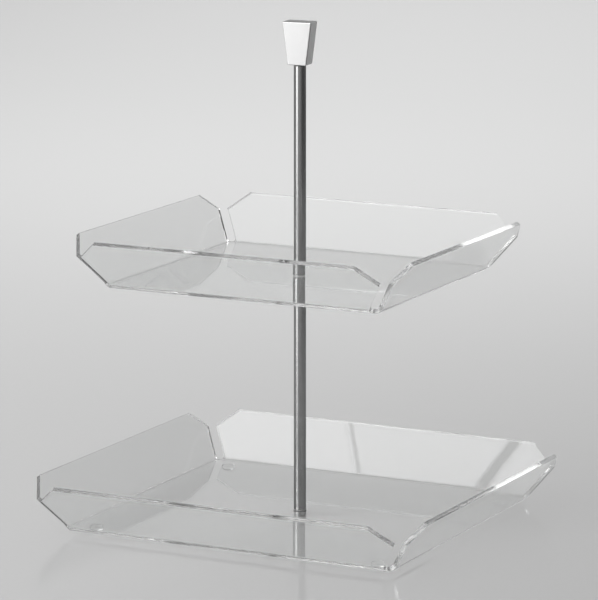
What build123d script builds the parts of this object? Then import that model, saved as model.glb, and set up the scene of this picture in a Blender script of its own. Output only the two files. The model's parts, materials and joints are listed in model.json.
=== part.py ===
"""Two-tier cake stand: two clear bent-sheet trays on a screwed steel stem with a tapered knob.

Millimetres, +Z up. The origin is on the surface the stand rests on, under the centre of the stem.
It is screwed together from below: screw, lower tray, lower tube, stud, upper tray, upper tube, stud, knob.
"""

from build123d import *
from math import cos, pi, radians, sin, sqrt, tan
import os

# ---- driving dimensions ----
SHEET = 3.0  # thickness of the tray sheet
LOWER_SIZE = (280.0, 260.0)  # lower tray over its rims, along X and Y
UPPER_SIZE = (240.0, 220.0)  # upper tray over its rims
TIER_SPACING = 158.0  # from the lower tray's underside to the upper tray's
GRIP_SPACING = 140.0  # from the upper tray's underside to the knob's underside
FOOT_HEIGHT = 3.0

FLAP_ANGLE = radians(54.5)  # how far each flap is bent up from the floor
FLAP_LENGTH = 39.3  # along the slope, from the outer bend line to the rim
FLAP_WIDEST = 25.8  # distance up the slope where the flap is widest
FLAP_CHAMFER = 13.9  # how far each top corner is cut in, along the rim
BEND_INSIDE_RADIUS = 2.0
SLOT_INSET = 6.35  # from a floor corner to each neighbouring flap's edge, on the bend line
SLOT_END_INSET = 2.8  # how far a slot's round end reaches into the floor, along X and Y

TUBE_RADIUS = 4.0
TUBE_WALL = 1.0
PLUG_LENGTH = 12.0
PLUG_CHAMFER = 0.4

THREAD_RADIUS = 2.0  # M4
THREAD_CLEARANCE = 0.05  # between a thread and the part that turns on it
HOLE_CLEARANCE = 0.1  # between a thread and a plain hole
THREAD_CHAMFER = 0.4
THREAD_GRIP = 6.4  # thread that is held by each part that unscrews
HEX_KEY = 2.0  # across flats, in the ends of the studs
HEX_DEPTH = 1.5

SOFT_WASHER = 0.5  # the clear washers between metal and sheet
STEEL_WASHER = 0.8
STEEL_WASHER_RADIUS = 4.5
SCREW_HEAD_RADIUS = 3.8
SCREW_HEAD_HEIGHT = 2.0
SCREW_HEAD_ROUND = 1.2
SCREW_KEY = 2.5
SCREW_KEY_DEPTH = 1.2

KNOB_TOP = 19.8
KNOB_BOTTOM = 12.7
KNOB_HEIGHT = 28.0
KNOB_DEPTH = 11.8
KNOB_ROUND = 0.6
KNOB_TURN = 6.0  # degrees about Z, where the knob's thread tightens
KNOB_HOLE_SPARE = 1.0  # hole left beyond the stud's tip

FOOT_RADIUS = 4.5
FOOT_ROUND = 1.4
FOOT_INSET = 16.0  # from each bend line to a foot's centre

SAME = 1e-6  # two radii this close are one radius
CUTTER = 400.0  # side of a block that cuts right across a tray

# ---- sizes that follow ----
RUN = FLAP_LENGTH * cos(FLAP_ANGLE)  # how far a rim lies outside its bend line
BEND_OUTSIDE_RADIUS = BEND_INSIDE_RADIUS + SHEET
BEND_START = BEND_OUTSIDE_RADIUS * tan(FLAP_ANGLE / 2)  # from the bend line back to where the floor is flat

SLOT_RADIUS = SLOT_INSET / sqrt(2)
SLOT_CENTRE_OUT = SLOT_INSET / 2 - SLOT_END_INSET  # slot's round end, outside the floor corner along X and Y
SLOT_STRAIGHT_Z = (SLOT_CENTRE_OUT + SLOT_INSET / 2) * tan(FLAP_ANGLE)  # where a slot's straight edges begin

LOWER_HALF = (LOWER_SIZE[0] / 2 - RUN, LOWER_SIZE[1] / 2 - RUN)  # stem axis to the bend lines
UPPER_HALF = (UPPER_SIZE[0] / 2 - RUN, UPPER_SIZE[1] / 2 - RUN)

LOWER_TRAY_Z = FOOT_HEIGHT
BASE_SCREW_SEAT_Z = LOWER_TRAY_Z - STEEL_WASHER
LOWER_FLOOR_Z = LOWER_TRAY_Z + SHEET
LOWER_TUBE_Z = LOWER_FLOOR_Z + SOFT_WASHER
UPPER_TRAY_Z = LOWER_TRAY_Z + TIER_SPACING
LOWER_TUBE_TOP_Z = UPPER_TRAY_Z - SOFT_WASHER
UPPER_FLOOR_Z = UPPER_TRAY_Z + SHEET
UPPER_TUBE_Z = UPPER_FLOOR_Z + SOFT_WASHER
KNOB_Z = UPPER_TRAY_Z + GRIP_SPACING
UPPER_TUBE_TOP_Z = KNOB_Z - SOFT_WASHER
TUBE_BORE_RADIUS = TUBE_RADIUS - TUBE_WALL
RUNNING_RADIUS = THREAD_RADIUS + THREAD_CLEARANCE
HOLE_RADIUS = THREAD_RADIUS + HOLE_CLEARANCE


# ---- shapes that are used again ----
def round_bar(radius, low, high):
    """A cylinder on the stem's axis between two heights."""
    return Pos(0, 0, (low + high) / 2) * Cylinder(radius, high - low)


def ring(outside, inside, low, high):
    """A plain washer or tube on the stem's axis."""
    return round_bar(outside, low, high) - round_bar(inside, low, high)


def hex_socket(across_flats, low, high):
    """The hole that a hex key fits."""
    outline = RegularPolygon(across_flats / 2, 6, major_radius=False)
    return Pos(0, 0, low) * extrude(outline, high - low)


def ends(solid, radius):
    """The round edges of a bar's two ends."""
    circles = solid.edges().filter_by(GeomType.CIRCLE)
    return circles.filter_by(lambda edge: abs(edge.radius - radius) < SAME)


# ---- trays ----
def bent_strip(reach, half_width):
    """One bend and one flap towards +X, with straight sides, before its outline is cut."""
    centre = (reach - BEND_START, BEND_OUTSIDE_RADIUS)
    bend = FLAP_ANGLE * 180 / pi
    rim_outside = (reach + RUN, FLAP_LENGTH * sin(FLAP_ANGLE))
    rim_inside = (
        rim_outside[0] - SHEET * sin(FLAP_ANGLE),
        rim_outside[1] + SHEET * cos(FLAP_ANGLE),
    )
    outside_arc = CenterArc(centre, BEND_OUTSIDE_RADIUS, -90, bend)
    inside_arc = CenterArc(centre, BEND_INSIDE_RADIUS, -90, bend)
    outline = [
        outside_arc,
        Line(outside_arc @ 1, rim_outside),
        Line(rim_outside, rim_inside),
        Line(rim_inside, inside_arc @ 1),
        inside_arc,
        Line(inside_arc @ 0, outside_arc @ 0),
    ]
    section = Plane.XZ * make_face(outline)
    return extrude(section, half_width, both=True)


def flap_outline(reach, span):
    """A block that holds what is left of a flap once its sloping sides and top corners are cut."""

    def half_width(slope):
        return span - SLOT_INSET + slope * cos(FLAP_ANGLE)

    rim_half = half_width(FLAP_WIDEST) - FLAP_CHAMFER
    right = [(half_width(0), 0), (half_width(FLAP_WIDEST), FLAP_WIDEST), (rim_half, FLAP_LENGTH)]
    left = [(-across, up) for across, up in reversed(right)]
    slope_plane = Plane(origin=(reach, 0, 0), x_dir=(0, 1, 0), z_dir=(sin(FLAP_ANGLE), 0, -cos(FLAP_ANGLE)))
    outline = make_face(Polyline(*right, *left, close=True))
    deeper_than_sheet = 2 * SHEET
    return extrude(slope_plane * outline, deeper_than_sheet, both=True)


def flap(reach, span):
    """One bend and flap towards +X. Its foot keeps its full width for the slots' round ends."""
    foot_half = span + SLOT_CENTRE_OUT
    low = Pos(reach, 0, SLOT_STRAIGHT_Z / 2) * Box(CUTTER, CUTTER, SLOT_STRAIGHT_Z)
    foot = bent_strip(reach, foot_half) & low
    blade = (bent_strip(reach, 2 * span) & flap_outline(reach, span)) - low
    return foot, blade


def tray(half, bottom):
    """A clear sheet with four flaps bent up, a slot between each two, and a hole for the stem's thread."""
    half_x, half_y = half
    feet = []
    blades = []
    sides = ((half_x, half_y, 0), (half_y, half_x, 90), (half_x, half_y, 180), (half_y, half_x, 270))
    for reach, span, turn in sides:
        foot, blade = flap(reach, span)
        feet.append(Rot(0, 0, turn) * foot)
        blades.append(Rot(0, 0, turn) * blade)
    floor = Pos(0, 0, SHEET / 2) * Box(2 * (half_x - BEND_START), 2 * (half_y - BEND_START), SHEET)
    body = floor + feet
    for side_x in (-1, 1):
        for side_y in (-1, 1):
            centre_x = side_x * (half_x + SLOT_CENTRE_OUT)
            centre_y = side_y * (half_y + SLOT_CENTRE_OUT)
            body -= Pos(centre_x, centre_y, 0) * Cylinder(SLOT_RADIUS, 2 * SLOT_STRAIGHT_Z)
    body += blades
    body -= round_bar(HOLE_RADIUS, -SHEET, 2 * SHEET)
    return Pos(0, 0, bottom) * body


# ---- stem ----
def tube(low, high):
    """A steel tube of the stem."""
    return ring(TUBE_RADIUS, TUBE_BORE_RADIUS, low, high)


def plug(low, bore):
    """A threaded plug that is pressed into a tube's end."""
    body = round_bar(TUBE_BORE_RADIUS, low, low + PLUG_LENGTH)
    body = chamfer(ends(body, TUBE_BORE_RADIUS), PLUG_CHAMFER)
    return body - round_bar(bore, low, low + PLUG_LENGTH)


def stud(low, high):
    """A headless screw with a hex socket in its upper end."""
    body = round_bar(THREAD_RADIUS, low, high)
    body = chamfer(ends(body, THREAD_RADIUS), THREAD_CHAMFER)
    return body - hex_socket(HEX_KEY, high - HEX_DEPTH, high)


def base_screw():
    """The screw under the lower tray: a low round head with a hex socket, and a thread into the tube."""
    head_bottom = BASE_SCREW_SEAT_Z - SCREW_HEAD_HEIGHT
    tip = LOWER_TUBE_Z + THREAD_GRIP
    shank = round_bar(THREAD_RADIUS, BASE_SCREW_SEAT_Z, tip)
    shank = chamfer(ends(shank, THREAD_RADIUS).group_by(Axis.Z)[-1], THREAD_CHAMFER)
    head = round_bar(SCREW_HEAD_RADIUS, head_bottom, BASE_SCREW_SEAT_Z)
    head = fillet(ends(head, SCREW_HEAD_RADIUS).group_by(Axis.Z)[0], SCREW_HEAD_ROUND)
    return (head + shank) - hex_socket(SCREW_KEY, head_bottom, head_bottom + SCREW_KEY_DEPTH)


def knob():
    """The grip: a solid block that widens upwards, with a threaded hole in its underside."""
    front = Polyline(
        (-KNOB_BOTTOM / 2, 0),
        (KNOB_BOTTOM / 2, 0),
        (KNOB_TOP / 2, KNOB_HEIGHT),
        (-KNOB_TOP / 2, KNOB_HEIGHT),
        close=True,
    )
    block = extrude(Plane.XZ * make_face(front), KNOB_DEPTH / 2, both=True)
    block = fillet(block.edges(), KNOB_ROUND)
    block -= round_bar(RUNNING_RADIUS, 0, THREAD_GRIP + KNOB_HOLE_SPARE)
    return Pos(0, 0, KNOB_Z) * Rot(0, 0, KNOB_TURN) * block


# ---- feet ----
def bumper_feet():
    """Four soft clear buttons under the lower tray's corners."""
    reach_x = LOWER_HALF[0] - FOOT_INSET
    reach_y = LOWER_HALF[1] - FOOT_INSET
    button = round_bar(FOOT_RADIUS, 0, FOOT_HEIGHT)
    button = fillet(ends(button, FOOT_RADIUS).group_by(Axis.Z)[0], FOOT_ROUND)
    corners = [(x, y) for x in (-reach_x, reach_x) for y in (-reach_y, reach_y)]
    return Compound(children=[Pos(x, y, 0) * button for x, y in corners])


def parts():
    """Every separate piece of the stand, by name."""
    joining_low = LOWER_TUBE_TOP_Z - THREAD_GRIP
    joining_high = UPPER_TUBE_Z + THREAD_GRIP
    knob_low = UPPER_TUBE_TOP_Z - THREAD_GRIP
    knob_high = KNOB_Z + THREAD_GRIP
    return {
        "lower_tray": tray(LOWER_HALF, LOWER_TRAY_Z),
        "upper_tray": tray(UPPER_HALF, UPPER_TRAY_Z),
        "bumper_feet": bumper_feet(),
        "base_screw": base_screw(),
        "base_screw_washer": ring(STEEL_WASHER_RADIUS, HOLE_RADIUS, BASE_SCREW_SEAT_Z, LOWER_TRAY_Z),
        "lower_tube_washer": ring(TUBE_RADIUS, HOLE_RADIUS, LOWER_FLOOR_Z, LOWER_TUBE_Z),
        "lower_tube": tube(LOWER_TUBE_Z, LOWER_TUBE_TOP_Z),
        "lower_tube_foot_plug": plug(LOWER_TUBE_Z, RUNNING_RADIUS),
        "lower_tube_head_plug": plug(LOWER_TUBE_TOP_Z - PLUG_LENGTH, THREAD_RADIUS),
        "joining_stud": stud(joining_low, joining_high),
        "upper_tray_under_washer": ring(TUBE_RADIUS, HOLE_RADIUS, LOWER_TUBE_TOP_Z, UPPER_TRAY_Z),
        "upper_tray_top_washer": ring(TUBE_RADIUS, HOLE_RADIUS, UPPER_FLOOR_Z, UPPER_TUBE_Z),
        "upper_tube": tube(UPPER_TUBE_Z, UPPER_TUBE_TOP_Z),
        "upper_tube_foot_plug": plug(UPPER_TUBE_Z, RUNNING_RADIUS),
        "upper_tube_head_plug": plug(UPPER_TUBE_TOP_Z - PLUG_LENGTH, THREAD_RADIUS),
        "knob_stud": stud(knob_low, knob_high),
        "knob_washer": ring(TUBE_RADIUS, HOLE_RADIUS, UPPER_TUBE_TOP_Z, KNOB_Z),
        "knob": knob(),
    }


os.makedirs("parts", exist_ok=True)
for name, solid in parts().items():
    export_step(solid, f"parts/{name}.step")
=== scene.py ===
"""Looks for the two-tier cake stand: clear bent sheet, steel tube and a satin metal knob, in a plain studio.

Lengths of the pieces are in millimetres and become metres where a mesh is made. The studio is in metres.
"""

import json
import math

import bmesh
import bpy
from mathutils import Matrix, Vector


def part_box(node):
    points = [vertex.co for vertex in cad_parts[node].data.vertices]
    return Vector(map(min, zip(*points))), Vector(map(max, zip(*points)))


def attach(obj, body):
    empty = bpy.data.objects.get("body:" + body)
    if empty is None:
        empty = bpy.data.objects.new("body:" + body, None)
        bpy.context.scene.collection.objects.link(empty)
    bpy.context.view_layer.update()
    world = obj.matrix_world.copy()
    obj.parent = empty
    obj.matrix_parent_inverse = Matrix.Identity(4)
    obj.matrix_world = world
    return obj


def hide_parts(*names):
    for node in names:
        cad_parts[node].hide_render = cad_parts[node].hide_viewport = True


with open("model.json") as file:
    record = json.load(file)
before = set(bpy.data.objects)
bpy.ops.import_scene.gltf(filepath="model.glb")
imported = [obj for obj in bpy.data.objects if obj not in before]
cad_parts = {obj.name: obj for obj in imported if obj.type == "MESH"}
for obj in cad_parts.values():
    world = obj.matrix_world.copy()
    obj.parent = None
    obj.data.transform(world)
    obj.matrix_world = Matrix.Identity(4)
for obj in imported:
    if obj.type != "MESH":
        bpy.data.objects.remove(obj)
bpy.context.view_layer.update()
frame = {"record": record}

MM = 0.001
SAME_PLACE = 1e-8  # metres

# ---- how the sheet is cut and bent, in millimetres; where it lies comes from the frame ----
SHEET = 3.0
FLAP_ANGLE = math.radians(54.5)
FLAP_LENGTH = 39.3  # up its slope, from where the flap's and the floor's outer faces would meet
FLAP_WIDEST = 25.8  # how far up the slope the cut-off corners begin
FLAP_CHAMFER = 13.9  # how much those corners take off each end of the rim
BEND_INSIDE_RADIUS = 2.0
SLOT_INSET = 6.35  # from the floor's corner to the side of a flap at its foot
SLOT_END_INSET = 2.8  # from the floor's corner to the slot's closed end, along each side
EDGE_ROUND = 0.12
BEND_STEPS = 14
STEM_HOLE_RADIUS = 2.1

BEND_OUTSIDE_RADIUS = BEND_INSIDE_RADIUS + SHEET
BEND_START = BEND_OUTSIDE_RADIUS * math.tan(FLAP_ANGLE / 2)
BEND_MIDDLE_RADIUS = BEND_INSIDE_RADIUS + SHEET / 2
BEND_ARC = FLAP_ANGLE * BEND_MIDDLE_RADIUS
RUN = FLAP_LENGTH * math.cos(FLAP_ANGLE)

# ---- the metal and rubber pieces, in millimetres ----
THREAD_PITCH = 0.7
THREAD_DEPTH = 0.38
THREAD_CHAMFER = 0.5
THREAD_ROOT = 0.1  # half the flat at a thread's bottom, as a share of the pitch
TURNING_BORE = 2.05  # radius of a hole that turns on its screw
HOLDING_BORE = 2.0  # radius of a hole that holds its stud fast
WASHER_BORE = 2.1
TUBE_BORE = 3.0
KNOB_TURN = 6.0  # degrees against the trays
KNOB_BOTTOM_WIDTH = 12.7
KNOB_TOP_WIDTH = 19.8
KNOB_DEPTH = 11.8
FOOT_RADIUS = 4.5
FOOT_GAP = 0.02  # keeps the feet's tops and the tray's underside apart

AROUND = 72  # points round a turned piece
HEX_SIDES = 6

# ---- the studio ----
BOUNCES = 64  # enough for light to find its way out of a sheet by its cut edges
CARD_FADE = 0.4  # share of a dark card over which its sides and its top fade out
CARD_FOOT_FADE = 0.2
STAND_MIDDLE = Vector((0, 0, 0.15))
ALONG_X = (1, 0, 0)


# ================= mesh tools =================
def new_object(name, mesh):
    """An object linked to the scene, at the origin."""
    piece = bpy.data.objects.new(name, mesh)
    bpy.context.scene.collection.objects.link(piece)
    return piece


def shade(mesh, angle=32):
    """Smooth shading, with edges sharper than the angle kept sharp."""
    for face in mesh.polygons:
        face.use_smooth = True
    mesh.set_sharp_from_angle(angle=math.radians(angle))


def weighted_normals(piece):
    """Flat faces stay flat next to the small rounded edges between them."""
    change = piece.modifiers.new("flat_faces_lead", "WEIGHTED_NORMAL")
    change.keep_sharp = True
    change.weight = 100


def around(radius, angle, height):
    """A point in metres at a radius and angle round the stem's axis."""
    return Vector((radius * math.cos(angle), radius * math.sin(angle), height)) * MM


def circle(radius, height):
    """One ring of points round the stem's axis."""
    turn = 2 * math.pi / AROUND
    return [around(radius, i * turn, height) for i in range(AROUND)]


def hexagon(across_flats, height):
    """A ring with as many points as a circle's, on a hexagon."""
    side = 2 * math.pi / HEX_SIDES
    ring = []
    for i in range(AROUND):
        angle = 2 * math.pi * i / AROUND
        from_flat = angle % side - math.pi / HEX_SIDES
        ring.append(around(across_flats / 2 / math.cos(from_flat), angle, height))
    return ring


def stack(name, rings, closed=False):
    """A mesh through rings of points. It is capped, or if closed its last ring is joined to its first."""
    bm = bmesh.new()
    made = [[bm.verts.new(point) for point in ring] for ring in rings]
    pairs = list(zip(made, made[1:]))
    if closed:
        pairs.append((made[-1], made[0]))
    for low, high in pairs:
        for i in range(len(low)):
            j = (i + 1) % len(low)
            bm.faces.new((low[i], low[j], high[j], high[i]))
    if not closed:
        bm.faces.new(list(reversed(made[0])))
        bm.faces.new(made[-1])
    bmesh.ops.recalc_face_normals(bm, faces=bm.faces)
    mesh = bpy.data.meshes.new(name)
    bm.to_mesh(mesh)
    bm.free()
    shade(mesh)
    return mesh


def extent(node):
    """A CAD node's bottom and top, and half its width, in millimetres."""
    low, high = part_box(node)
    return low.z / MM, high.z / MM, (high.x - low.x) / 2 / MM


def rounded_corner(radius, height, round_radius, start, steps=4):
    """Rings for a rounded edge of a turned piece: a quarter circle that begins at an angle in degrees."""
    rings = []
    for i in range(steps + 1):
        angle = math.radians(start + 90 * i / steps)
        rings.append(circle(radius + round_radius * math.cos(angle), height + round_radius * math.sin(angle)))
    return rings


# ================= the bent trays =================
def flat_reach(half, slope):
    """Where a distance up the flap's slope lies on the flat sheet, from the stem's axis."""
    return half - BEND_START + BEND_ARC + (slope - BEND_START)


def flap_half_width(span, slope):
    """A flap widens as it rises, so that the slot beside it keeps its width."""
    return span - SLOT_INSET + slope * math.cos(FLAP_ANGLE)


def slot_end():
    """The slot's round end on the flat sheet: its centre, out from the floor's corner, and its radius."""
    spread = math.cos(FLAP_ANGLE)
    tilt = math.hypot(1, spread)
    start = SLOT_INSET - spread * (2 * BEND_START - BEND_ARC)
    centre_in = (tilt * math.sqrt(2) * SLOT_END_INSET - start) / (tilt * math.sqrt(2) - (1 - spread))
    return -centre_in, math.sqrt(2) * (SLOT_END_INSET - centre_in)


def corner_outline(half_x, half_y, steps=20):
    """The flat sheet's edge round its +X +Y corner, from the +X flap's rim down the slot to the +Y flap's."""
    outside, radius = slot_end()
    lean = math.atan(math.cos(FLAP_ANGLE))
    rim_cut = flap_half_width(half_y, FLAP_WIDEST) - FLAP_CHAMFER
    points = [
        (flat_reach(half_x, FLAP_LENGTH), rim_cut),
        (flat_reach(half_x, FLAP_WIDEST), flap_half_width(half_y, FLAP_WIDEST)),
    ]
    first = math.radians(-90) + lean
    last = math.radians(-180) - lean
    for i in range(steps + 1):
        angle = first + (last - first) * i / steps
        x = half_x + outside + radius * math.cos(angle)
        y = half_y + outside + radius * math.sin(angle)
        points.append((x, y))
    rim_cut = flap_half_width(half_x, FLAP_WIDEST) - FLAP_CHAMFER
    points.append((flap_half_width(half_x, FLAP_WIDEST), flat_reach(half_y, FLAP_WIDEST)))
    points.append((rim_cut, flat_reach(half_y, FLAP_LENGTH)))
    return points


def add_spline(curve, points):
    """One closed outline in a curve."""
    spline = curve.splines.new("POLY")
    spline.points.add(len(points) - 1)
    for point, (x, y) in zip(spline.points, points):
        point.co = (x * MM, y * MM, 0, 1)
    spline.use_cyclic_u = True


def flat_sheet(name, half_x, half_y):
    """The cut sheet before it is bent, with its stem hole and slightly rounded edges, lying on Z = 0."""
    corner = corner_outline(half_x, half_y)
    outline = []
    for side_x, side_y in ((1, 1), (-1, 1), (-1, -1), (1, -1)):
        points = [(side_x * x, side_y * y) for x, y in corner]
        outline += points if side_x * side_y > 0 else list(reversed(points))
    hole = []
    for i in range(AROUND):
        angle = -2 * math.pi * i / AROUND
        hole.append((STEM_HOLE_RADIUS * math.cos(angle), STEM_HOLE_RADIUS * math.sin(angle)))
    curve = bpy.data.curves.new(name, "CURVE")
    curve.dimensions = "2D"
    curve.fill_mode = "BOTH"
    curve.extrude = (SHEET / 2 - EDGE_ROUND) * MM
    curve.bevel_depth = EDGE_ROUND * MM
    curve.bevel_resolution = 1
    curve.offset = -EDGE_ROUND * MM
    add_spline(curve, outline)
    add_spline(curve, hole)
    shape = new_object(name + "_outline", curve)
    mesh = bpy.data.meshes.new_from_object(shape.evaluated_get(bpy.context.evaluated_depsgraph_get()))
    bpy.data.objects.remove(shape)
    bpy.data.curves.remove(curve)
    return mesh


def bent(distance, height, start):
    """Where a point of the flat sheet goes, given its distance from the stem's axis: (distance, height)."""
    along = distance - start
    if along <= 0:
        return distance, height
    angle = min(along, BEND_ARC) / BEND_MIDDLE_RADIUS
    beyond = max(0.0, along - BEND_ARC)
    radius = BEND_OUTSIDE_RADIUS - height
    out = start + radius * math.sin(angle) + beyond * math.cos(angle)
    up = BEND_OUTSIDE_RADIUS - radius * math.cos(angle) + beyond * math.sin(angle)
    return out, up


def score_bends(bm, half_x, half_y):
    """Cuts the sheet into fine steps where it bends, so that it can curve there."""
    for axis, half in ((0, half_x), (1, half_y)):
        across = Vector((0, 0, 0))
        across[axis] = 1
        for side in (-1, 1):
            for step in range(BEND_STEPS + 1):
                place = across * (side * (half - BEND_START + BEND_ARC * step / BEND_STEPS) * MM)
                everything = list(bm.verts) + list(bm.edges) + list(bm.faces)
                bmesh.ops.bisect_plane(bm, geom=everything, dist=SAME_PLACE, plane_co=place, plane_no=across)


def fold_up(bm, half_x, half_y, underside):
    """Moves every point of the flat sheet to where it lies once the four flaps are bent up."""
    for vert in bm.verts:
        x, y, height = vert.co.x / MM, vert.co.y / MM, vert.co.z / MM + SHEET / 2
        if abs(x) - half_x > abs(y) - half_y:
            out, height = bent(abs(x), height, half_x - BEND_START)
            x = math.copysign(out, x)
        else:
            out, height = bent(abs(y), height, half_y - BEND_START)
            y = math.copysign(out, y)
        vert.co = Vector((x * MM, y * MM, height * MM + underside))


def tray_mesh(node):
    """A clear tray: the sheet is cut flat, scored along its bends, and folded up."""
    low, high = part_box(node)
    half_x = (high.x - low.x) / 2 / MM - RUN
    half_y = (high.y - low.y) / 2 / MM - RUN
    mesh = flat_sheet(node + "_sheet", half_x, half_y)
    bm = bmesh.new()
    bm.from_mesh(mesh)
    bmesh.ops.remove_doubles(bm, verts=bm.verts, dist=10 * SAME_PLACE)
    score_bends(bm, half_x, half_y)
    fold_up(bm, half_x, half_y, low.z)
    bmesh.ops.recalc_face_normals(bm, faces=bm.faces)
    bm.to_mesh(mesh)
    bm.free()
    shade(mesh, 20)
    return mesh


# ================= turned and threaded pieces =================
def thread_rings(low, high, radius, steps=6):
    """Rings of a screw thread between two heights, tapering at both ends. Steps is the rings in one pitch."""
    count = int((high - low) / THREAD_PITCH * steps)
    rings = []
    for k in range(count + 1):
        height = low + (high - low) * k / count
        end_taper = max(0.0, THREAD_CHAMFER - min(height - low, high - height))
        ring = []
        for i in range(AROUND):
            phase = (height / THREAD_PITCH - i / AROUND) % 1.0
            from_crest = 0.5 - abs(phase - 0.5)
            depth = THREAD_DEPTH * min(1.0, from_crest / (0.5 - THREAD_ROOT))
            ring.append(around(radius - max(depth, end_taper), 2 * math.pi * i / AROUND, height))
        rings.append(ring)
    return rings


def stud_mesh(node, socket=2.0, socket_depth=1.5):
    """A headless screw with a hex socket in its upper end."""
    bottom, top, radius = extent(node)
    rings = thread_rings(bottom, top, radius)
    rings.append(hexagon(socket, top))
    rings.append(hexagon(socket, top - socket_depth))
    return stack(node, rings)


def ring_mesh(node, bore, edge, steps):
    """A tube or a washer, its four edges eased in a few steps."""
    bottom, top, radius = extent(node)
    rings = rounded_corner(radius - edge, bottom + edge, edge, -90, steps)
    rings += rounded_corner(radius - edge, top - edge, edge, 0, steps)
    rings += rounded_corner(bore + edge, top - edge, edge, 90, steps)
    rings += rounded_corner(bore + edge, bottom + edge, edge, 180, steps)
    return stack(node, rings, closed=True)


def tube_mesh(node):
    """One of the stem's two tubes."""
    return ring_mesh(node, TUBE_BORE, edge=0.18, steps=4)


def washer_mesh(node):
    """A flat ring that an M4 thread goes through."""
    return ring_mesh(node, WASHER_BORE, edge=0.1, steps=2)


def plug_mesh(node, bore, chamfer=0.4, lead=0.3, sunk=0.05):
    """A threaded plug, just sunk in its tube: chamfered outside, with a lead-in at both ends of its bore."""
    bottom, top, radius = extent(node)
    bottom += sunk
    top -= sunk
    profile = [
        (bore + lead, bottom),
        (radius - chamfer, bottom),
        (radius, bottom + chamfer),
        (radius, top - chamfer),
        (radius - chamfer, top),
        (bore + lead, top),
        (bore, top - lead),
        (bore, bottom + lead),
    ]
    return stack(node, [circle(r, z) for r, z in profile], closed=True)


def base_screw_mesh(node, head_height=2.0, head_round=1.2, seat_edge=0.1, shank=2.0):
    """The screw under the lower tray: a low round head with a hex socket below, and a thread above."""
    bottom, top, radius = extent(node)
    socket, socket_depth = 2.5, 1.2
    seat = bottom + head_height
    rings = [hexagon(socket, bottom + socket_depth), hexagon(socket, bottom)]
    rings += rounded_corner(radius - head_round, bottom + head_round, head_round, -90, 6)
    rings += rounded_corner(radius - seat_edge, seat - seat_edge, seat_edge, 0, 2)
    rings += thread_rings(seat, top, shank)
    return stack(node, rings)


def drill(bm, radius, bottom, depth):
    """A blind hole up into the lowest flat face of a mesh, in millimetres."""
    under = min(bm.faces, key=lambda face: (round(face.calc_center_median().z, 6), -face.calc_area()))
    rim = list(under.edges)
    bmesh.ops.delete(bm, geom=[under], context="FACES_ONLY")
    rings = [[bm.verts.new(point) for point in circle(radius, height)] for height in (bottom, bottom + depth)]
    for i in range(AROUND):
        j = (i + 1) % AROUND
        bm.faces.new((rings[0][i], rings[0][j], rings[1][j], rings[1][i]))
    bm.faces.new(rings[1])
    mouth = [bm.edges.get((rings[0][i - 1], rings[0][i])) for i in range(AROUND)]
    bmesh.ops.triangle_fill(bm, edges=rim + mouth, use_beauty=True)


def knob_mesh(node, edge=0.7, hole_depth=7.4):
    """The grip: a block that widens upwards, with softened edges and a threaded hole below."""
    bottom, top = extent(node)[:2]
    bm = bmesh.new()
    rings = []
    for width, height in ((KNOB_BOTTOM_WIDTH, bottom), (KNOB_TOP_WIDTH, top)):
        sides = ((-1, -1), (1, -1), (1, 1), (-1, 1))
        places = [Vector((x * width / 2, y * KNOB_DEPTH / 2, height)) * MM for x, y in sides]
        rings.append([bm.verts.new(place) for place in places])
    low, high = rings
    for i in range(4):
        j = (i + 1) % 4
        bm.faces.new((low[i], low[j], high[j], high[i]))
    bm.faces.new(list(reversed(low)))
    bm.faces.new(high)
    bmesh.ops.bevel(bm, geom=list(bm.edges), offset=edge * MM, segments=5, profile=0.5, affect="EDGES")
    drill(bm, TURNING_BORE, bottom, hole_depth)
    turn = Matrix.Rotation(math.radians(KNOB_TURN), 3, "Z")
    bmesh.ops.rotate(bm, verts=bm.verts, cent=(0, 0, 0), matrix=turn)
    bmesh.ops.recalc_face_normals(bm, faces=bm.faces)
    mesh = bpy.data.meshes.new(node)
    bm.to_mesh(mesh)
    bm.free()
    shade(mesh, 60)
    return mesh


def feet_mesh(node, rounding=1.4):
    """Four soft buttons with rounded rims, under the lower tray's corners."""
    low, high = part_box(node)
    bm = bmesh.new()
    for x in (low.x / MM + FOOT_RADIUS, high.x / MM - FOOT_RADIUS):
        for y in (low.y / MM + FOOT_RADIUS, high.y / MM - FOOT_RADIUS):
            rings = rounded_corner(FOOT_RADIUS - rounding, rounding, rounding, -90, 6)
            rings.append(circle(FOOT_RADIUS, high.z / MM - FOOT_GAP))
            button = stack("button", rings)
            for vert in button.vertices:
                vert.co += Vector((x, y, 0)) * MM
            bm.from_mesh(button)
            bpy.data.meshes.remove(button)
    mesh = bpy.data.meshes.new(node)
    bm.to_mesh(mesh)
    bm.free()
    shade(mesh)
    return mesh


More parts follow.
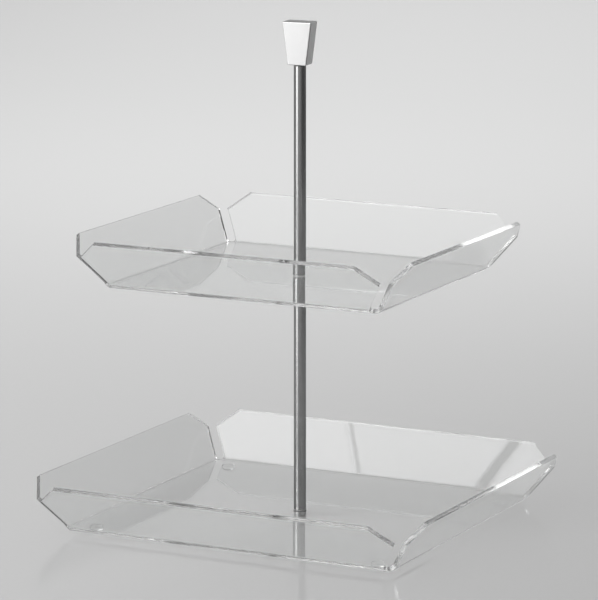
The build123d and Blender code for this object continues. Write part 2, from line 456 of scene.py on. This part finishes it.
# ================= materials =================
class Look:
    """A material under construction: one Principled shader and the nodes that feed it."""

    def __init__(self, name):
        self.material = bpy.data.materials.new(name)
        self.material.use_nodes = True
        self.tree = self.material.node_tree
        self.shader = self.tree.nodes["Principled BSDF"]
        self.place = self.tree.nodes.new("ShaderNodeTexCoord").outputs["Object"]

    def add(self, kind, **inputs):
        """A new node, with values or links for the inputs that are named."""
        node = self.tree.nodes.new(kind)
        for name, value in inputs.items():
            self.feed(node.inputs[name.replace("_", " ")], value)
        return node

    def feed(self, socket, value):
        """Gives a socket a value, or links it to another node's output."""
        if isinstance(value, bpy.types.NodeSocket):
            self.tree.links.new(value, socket)
        else:
            socket.default_value = value

    def set(self, name, value):
        """Feeds an input of the Principled shader."""
        self.feed(self.shader.inputs[name], value)

    def stretched(self, scale):
        """Object coordinates scaled along each axis, for grain that runs one way."""
        mapping = self.add("ShaderNodeMapping", Vector=self.place)
        mapping.inputs["Scale"].default_value = scale
        return mapping.outputs["Vector"]

    def noise(self, vector, scale, detail=3.0):
        """Fine random variation. A scale of 1000 gives features of about a millimetre."""
        node = self.add("ShaderNodeTexNoise", Vector=vector, Scale=scale, Detail=detail)
        return node.outputs["Fac"]

    def spread(self, value, low, high, start=0.0, end=1.0):
        """A value between start and end carried to the range from low to high."""
        node = self.add("ShaderNodeMapRange", Value=value)
        node.inputs["From Min"].default_value = start
        node.inputs["From Max"].default_value = end
        node.inputs["To Min"].default_value = low
        node.inputs["To Max"].default_value = high
        return node.outputs["Result"]

    def product(self, first, second):
        """Two values multiplied."""
        node = self.add("ShaderNodeMath")
        node.operation = "MULTIPLY"
        self.feed(node.inputs[0], first)
        self.feed(node.inputs[1], second)
        return node.outputs["Value"]

    def grey(self, value):
        """A neutral colour from a single value."""
        node = self.add("ShaderNodeCombineColor", Red=value, Green=value, Blue=value)
        return node.outputs["Color"]

    def facing(self):
        """0 where the surface faces the viewer and 1 at its silhouette."""
        return self.add("ShaderNodeLayerWeight", Blend=0.5).outputs["Facing"]

    def bump(self, height, strength, distance):
        """Relief from a height map. Distance is its depth in metres."""
        node = self.add("ShaderNodeBump", Height=height, Strength=strength, Distance=distance)
        self.set("Normal", node.outputs["Normal"])

    def let_light_through(self, straight, aslant):
        """At each face these shares of lamps' and bounced light pass, so a clear piece's shadow is faint."""
        path = self.add("ShaderNodeLightPath")
        either = self.add("ShaderNodeMath")
        either.operation = "MAXIMUM"
        self.feed(either.inputs[0], path.outputs["Is Shadow Ray"])
        self.feed(either.inputs[1], path.outputs["Is Diffuse Ray"])
        share = self.spread(self.facing(), straight, aslant)
        opening = self.add("ShaderNodeBsdfTransparent", Color=self.grey(share))
        mix = self.add("ShaderNodeMixShader", Fac=either.outputs["Value"])
        self.feed(mix.inputs[1], self.shader.outputs["BSDF"])
        self.feed(mix.inputs[2], opening.outputs["BSDF"])
        self.feed(self.tree.nodes["Material Output"].inputs["Surface"], mix.outputs["Shader"])


def clear_acrylic():
    """Cast acrylic sheet: clear and glossy, with the faint waviness and rub marks of a used tray."""
    look = Look("clear_acrylic")
    look.set("Base Color", (0.985, 0.99, 0.988, 1))
    look.set("Transmission Weight", 1.0)
    look.set("IOR", 1.49)
    rub = look.noise(look.place, 40.0, 2.0)
    look.set("Roughness", look.spread(rub, 0.025, 0.045, 0.55, 0.7))
    look.bump(look.noise(look.place, 14.0, 0.0), 0.02, 0.0002)
    look.let_light_through(0.99, 0.93)
    return look.material


def steel_tube():
    """Stainless tube, polished round and round, so its highlight draws out along it."""
    look = Look("stainless_steel")
    grain = look.noise(look.stretched((1, 1, 60)), 60.0, 4.0)
    cloud = look.noise(look.stretched((1, 1, 0.2)), 120.0, 2.0)
    # Base colour: the grain's tone, set darker than bare stainless as painted shade for the dark surroundings
    # the tube mirrors.
    level = look.spread(grain, 0.28, 0.38)
    # Darker towards the silhouette: painted shade on the tube's sides.
    edge = look.spread(look.facing(), 1.0, 0.25, 0.3, 1.0)
    look.set("Base Color", look.grey(look.product(level, edge)))
    look.set("Metallic", 1.0)
    look.set("Roughness", look.spread(cloud, 0.22, 0.3))
    look.set("Anisotropic", 0.8)
    look.set("Anisotropic Rotation", 0.25)
    around = look.add("ShaderNodeTangent")
    around.direction_type = "RADIAL"
    around.axis = "Z"
    look.set("Tangent", around.outputs["Tangent"])
    look.bump(grain, 0.1, 0.00003)
    return look.material


def fastener_steel():
    """Zinc-plated screws and plugs, slightly mottled."""
    look = Look("plated_steel")
    mottle = look.noise(look.place, 900.0, 3.0)
    look.set("Base Color", look.grey(look.spread(mottle, 0.45, 0.6)))
    look.set("Metallic", 1.0)
    look.set("Roughness", look.spread(mottle, 0.25, 0.4))
    return look.material


def satin_metal():
    """The knob's fine blasted aluminium."""
    look = Look("satin_aluminium")
    grain = look.noise(look.place, 2600.0, 2.0)
    cloud = look.noise(look.place, 90.0, 3.0)
    # Base colour lighter towards the silhouette: a painted sheen on the faces seen aslant.
    painted_edge_sheen = look.spread(look.facing(), 0.59, 0.88, 0.05, 0.8)
    look.set("Base Color", look.grey(look.product(painted_edge_sheen, look.spread(cloud, 0.96, 1.04))))
    look.set("Metallic", 1.0)
    look.set("Roughness", look.spread(cloud, 0.38, 0.46))
    look.bump(grain, 0.25, 0.00004)
    return look.material


def dark_nylon():
    """The thin washer under the knob, near black: it draws the dark line where the knob meets the tube."""
    look = Look("dark_nylon")
    grain = look.noise(look.place, 900.0, 2.0)
    look.set("Base Color", look.grey(look.spread(grain, 0.02, 0.035)))
    look.set("Roughness", look.spread(grain, 0.4, 0.6))
    return look.material


def milky_nylon():
    """Natural nylon washers, which let some light through."""
    look = Look("clear_nylon")
    grain = look.noise(look.place, 1200.0, 2.0)
    look.set("Base Color", look.grey(look.spread(grain, 0.82, 0.9)))
    look.set("Transmission Weight", 0.5)
    look.set("IOR", 1.5)
    look.set("Roughness", look.spread(grain, 0.3, 0.42))
    return look.material


def clear_soft(name, roughness):
    """Clear washers and feet: softer and a little hazier than the sheet."""
    look = Look(name)
    look.set("Base Color", (0.97, 0.975, 0.975, 1))
    look.set("Transmission Weight", 1.0)
    look.set("IOR", 1.42)
    haze = look.noise(look.place, 400.0, 3.0)
    look.set("Roughness", look.spread(haze, roughness * 0.7, roughness * 1.3))
    look.let_light_through(0.985, 0.85)
    return look.material


# ================= the pieces =================
ACRYLIC = clear_acrylic()
STEEL = steel_tube()
FASTENER = fastener_steel()
KNOB_METAL = satin_metal()
WASHER_DARK = dark_nylon()
WASHER_CLEAR = milky_nylon()
SILICONE = clear_soft("clear_silicone", 0.1)

BODY_OF = {node: body for body, nodes in frame["record"]["behaviour"]["bodies"].items() for node in nodes}


def add(node, mesh, material):
    """A finished piece in place of a CAD node, on the same body."""
    piece = new_object(node + "_piece", mesh)
    mesh.materials.clear()
    mesh.materials.append(material)
    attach(piece, BODY_OF[node])
    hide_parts(node)
    return piece


for node in ("lower_tray", "upper_tray"):
    weighted_normals(add(node, tray_mesh(node), ACRYLIC))
for node in ("lower_tube", "upper_tube"):
    add(node, tube_mesh(node), STEEL)
for node in ("joining_stud", "knob_stud"):
    add(node, stud_mesh(node), FASTENER)
for tube in ("lower_tube", "upper_tube"):
    for end, bore in (("_foot_plug", TURNING_BORE), ("_head_plug", HOLDING_BORE)):
        add(tube + end, plug_mesh(tube + end, bore), FASTENER)
for node, material in (
    ("lower_tube_washer", WASHER_CLEAR),
    ("upper_tray_under_washer", WASHER_CLEAR),
    ("upper_tray_top_washer", WASHER_CLEAR),
    ("knob_washer", WASHER_DARK),
):
    add(node, washer_mesh(node), material)
add("base_screw", base_screw_mesh("base_screw"), FASTENER)
add("base_screw_washer", washer_mesh("base_screw_washer"), FASTENER)
weighted_normals(add("knob", knob_mesh("knob"), KNOB_METAL))
add("bumper_feet", feet_mesh("bumper_feet"), SILICONE)


# ================= the studio =================
def one_face(name, corners):
    """An object of one four-sided face."""
    mesh = bpy.data.meshes.new(name)
    mesh.from_pydata(corners, [], [(0, 1, 2, 3)])
    return new_object(name, mesh)


def studio_floor():
    """A pale painted table with a slight gloss."""
    reach = 9.0
    corners = [(-reach, -reach, 0), (reach, -reach, 0), (reach, reach, 0), (-reach, reach, 0)]
    floor = one_face("floor", corners)
    look = Look("floor_paint")
    fleck = look.noise(look.place, 300.0, 2.0)
    look.set("Base Color", look.grey(look.spread(fleck, 0.62, 0.64)))
    look.set("Roughness", 0.12)
    look.set("Specular IOR Level", 0.3)
    floor.data.materials.append(look.material)


def soft_panel(name, direction, distance, size, radiance, aim, across=None):
    """A soft light that faces the aim from a direction. Its width runs along across, or level without one."""
    width, height = size
    light = bpy.data.lights.new(name, "AREA")
    light.shape = "RECTANGLE"
    light.size = width
    light.size_y = height
    light.energy = radiance * math.pi * width * height
    panel = bpy.data.objects.new(name, light)
    bpy.context.scene.collection.objects.link(panel)
    way = Vector(direction).normalized()
    wide = Vector(across) if across else Vector((0, 0, 1)).cross(way)
    wide = (wide - way * wide.dot(way)).normalized()
    turn = Matrix((wide, way.cross(wide), way)).transposed()
    panel.location = Vector(aim) + way * distance
    panel.rotation_mode = "QUATERNION"
    panel.rotation_quaternion = turn.to_quaternion()
    panel.visible_camera = False
    return panel


def studio_world():
    """Surroundings that are mid grey at eye level and fall off to dark above."""
    world = bpy.data.worlds.new("studio")
    bpy.context.scene.world = world
    world.use_nodes = True
    tree = world.node_tree
    direction = tree.nodes.new("ShaderNodeTexCoord").outputs["Generated"]
    split = tree.nodes.new("ShaderNodeSeparateXYZ")
    tree.links.new(direction, split.inputs["Vector"])
    ramp = tree.nodes.new("ShaderNodeValToRGB")
    ramp.color_ramp.interpolation = "EASE"
    first, last = ramp.color_ramp.elements
    first.position, first.color = 0.2, (0.6, 0.6, 0.6, 1)
    last.position, last.color = 0.4, (0.1, 0.1, 0.1, 1)
    tree.links.new(split.outputs["Z"], ramp.inputs["Fac"])
    tree.links.new(ramp.outputs["Color"], tree.nodes["Background"].inputs["Color"])


def softbox():
    """The main light, high on the left, with a dimmer panel joined on above it."""
    direction, distance = (-0.43, -0.47, 0.77), 1.6
    width, height, dim_height = 1.6, 1.1, 0.4
    up_the_box = Vector((0, 0.853, 0.522))
    seam = STAND_MIDDLE + up_the_box * 0.045
    bright_aim = seam - up_the_box * (height / 2)
    dim_aim = seam + up_the_box * (dim_height / 2)
    soft_panel("key", direction, distance, (width, height), 2.8, bright_aim, ALONG_X)
    soft_panel("key_edge", direction, distance, (width, dim_height), 1.1, dim_aim, ALONG_X)


def front_strip():
    """A tall bright strip in front, which draws the light line down the stem."""
    strip = soft_panel("strip", (-0.51, -0.86, 0.25), 1.2, (0.5, 1.4), 3.6, STAND_MIDDLE)
    strip.visible_diffuse = False


def table_lights():
    """Light for the table round the stand and behind it, which shiny and clear faces don't show."""
    down = (0, 0, 1)
    panels = (
        soft_panel("table_before", down, 1.6, (3.0, 1.6), 1.4, (0.6, -2.8, 0), ALONG_X),
        soft_panel("table_front", (-0.4, -0.4, 1), 1.4, (0.8, 0.8), 3.6, (-0.75, -0.3, 0)),
        soft_panel("table_near", down, 1.0, (1.2, 0.6), 2.1, (-0.6, 1.1, 0), ALONG_X),
        soft_panel("table_middle", down, 1.4, (1.6, 1.2), 2.3, (-0.7, 1.6, 0), ALONG_X),
        soft_panel("table_far", down, 1.4, (1.6, 1.2), 3.4, (-1.2, 2.9, 0), ALONG_X),
    )
    for panel in panels:
        panel.visible_glossy = False
        panel.visible_transmission = False


def rim_strip(camera):
    """A thin bright strip behind, which both right-hand rims mirror to the camera over their far half."""
    away, lit_middle = 1.5, 0.27
    rim_face = Vector((math.cos(FLAP_ANGLE), 0, math.sin(FLAP_ANGLE)))
    half_sheet = Vector((math.sin(FLAP_ANGLE), 0, math.cos(FLAP_ANGLE))) * (SHEET / 2 * MM)
    rims, seen = [], []
    for node in ("lower_tray", "upper_tray"):
        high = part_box(node)[1]
        rim = Vector((high.x, high.y * lit_middle, high.z)) - half_sheet
        view = (camera.location - rim).normalized()
        mirrored = rim_face * (2 * rim_face.dot(view)) - view
        rims.append(rim)
        seen.append(rim + mirrored * away)
    aim, place = (rims[0] + rims[1]) / 2, (seen[0] + seen[1]) / 2
    way = place - aim
    strip = soft_panel("rim_strip", way, way.length, (0.039, 0.32), 5.0, aim, way.cross(seen[1] - seen[0]))
    strip.visible_diffuse = False
    strip.visible_transmission = False


def dark_card(name, corner, far_corner, top, shade_of_grey):
    """A dark upright card between two points on the table. It fades at its edges, and only gloss shows it."""
    foot = 0.01
    feet = [(*corner, foot), (*far_corner, foot)]
    tops = [(*far_corner, top), (*corner, top)]
    card = one_face(name, feet + tops)
    across_and_up = card.data.uv_layers.new(name="across_and_up")
    for loop, place in zip(across_and_up.data, ((0, 0), (1, 0), (1, 1), (0, 1))):
        loop.uv = place
    look = Look(name)
    look.set("Base Color", (shade_of_grey, shade_of_grey, shade_of_grey, 1))
    look.set("Roughness", 0.9)
    split = look.add("ShaderNodeSeparateXYZ", Vector=look.add("ShaderNodeTexCoord").outputs["UV"])
    across, up = split.outputs["X"], split.outputs["Y"]
    near_side = look.spread(across, 0, 1, 0, CARD_FADE)
    far_side = look.spread(across, 1, 0, 1 - CARD_FADE, 1)
    foot_side = look.spread(up, 0, 1, 0, CARD_FOOT_FADE)
    top_side = look.spread(up, 1, 0, 1 - CARD_FADE, 1)
    look.set("Alpha", look.product(look.product(near_side, far_side), look.product(foot_side, top_side)))
    card.data.materials.append(look.material)
    card.visible_camera = False
    card.visible_diffuse = False
    card.visible_transmission = False
    card.visible_shadow = False


def cycles_settings():
    """Plain colours, and enough bounces for the clear sheets."""
    scene = bpy.context.scene
    scene.view_settings.view_transform = "Standard"
    scene.cycles.max_bounces = BOUNCES
    scene.cycles.transmission_bounces = BOUNCES
    scene.cycles.glossy_bounces = BOUNCES
    scene.cycles.transparent_max_bounces = BOUNCES
    scene.cycles.sample_clamp_indirect = 4


def photo_camera():
    """The viewpoint: turned to the right of the front, a little above, with a long lens."""
    azimuth, elevation = math.radians(26.73), math.radians(11.11)
    distance, frame_side, focal = 2.53983, 600, 3901.1
    aim = Vector((-0.00055, -0.00028, 0.14655))
    level = math.cos(elevation)
    back = Vector((math.sin(azimuth) * level, -math.cos(azimuth) * level, math.sin(elevation)))
    lens = bpy.data.cameras.new("camera")
    lens.sensor_width = 36.0
    lens.lens = lens.sensor_width * focal / frame_side
    lens.clip_start = 0.05
    lens.clip_end = 60
    camera = bpy.data.objects.new("camera", lens)
    bpy.context.scene.collection.objects.link(camera)
    camera.location = aim + back * distance
    camera.rotation_mode = "QUATERNION"
    camera.rotation_quaternion = back.to_track_quat("Z", "Y")
    bpy.context.scene.camera = camera
    return camera


studio_floor()
studio_world()
softbox()
front_strip()
table_lights()
dark_card("card_right", (0.36, -0.6), (0.36, 0.6), 1.2, 0.12)
dark_card("card_behind", (0.02, 0.5), (0.7, 0.5), 0.33, 0.1)
rim_strip(photo_camera())
cycles_settings()
